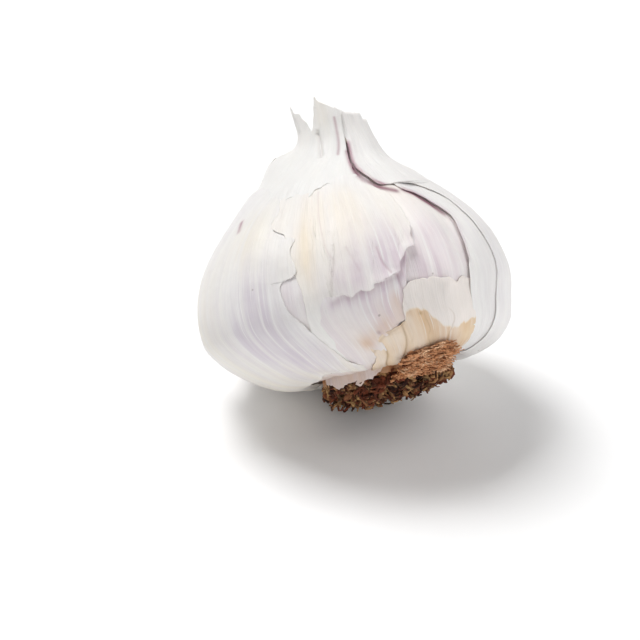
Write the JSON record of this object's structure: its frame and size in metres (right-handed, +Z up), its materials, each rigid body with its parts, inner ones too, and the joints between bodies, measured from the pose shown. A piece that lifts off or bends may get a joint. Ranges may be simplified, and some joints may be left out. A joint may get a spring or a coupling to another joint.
{
  "type": "garlic bulb",
  "caption": "Whole dry garlic bulb lying tipped back on its lower cloves, with torn papery skins, a short open neck, a corky basal plate and matted root stubs.",
  "frame": {"origin": "on the surface that the bulb lies on, under the centre of its bounding box", "axes": "+Z up; -Y is the front, where the torn skins show; the neck leans back towards +Y and a little left towards -X"},
  "size_m": [0.0608, 0.057, 0.0592],
  "materials": {
    "clove_skin": "thin lilac-grey inner skin, satin, with pale veins",
    "white_skin": "dry white papery skin, satin, ribbed along the bulb",
    "cream_skin": "dry cream papery skin, satin, ribbed along the bulb",
    "tan_husk": "matt tan basal husk with ochre cracks",
    "basal_plate": "matt corky brown, fibrous",
    "roots": "matt dry brown root stubs"
  },
  "bodies": {
    "root": {"bulb_of_cloves": "clove_skin", "front_under_skin": "clove_skin", "base_husk": "tan_husk", "right_under_skin": "white_skin", "back_under_skin_right": "white_skin", "back_under_skin_left": "clove_skin", "front_flap": "cream_skin", "left_outer_skin": "white_skin", "right_outer_skin": "white_skin", "back_outer_skin": "cream_skin", "neck_wrap": "white_skin", "basal_plate": "basal_plate", "root_tuft": "roots"}
  },
  "joints": []
}
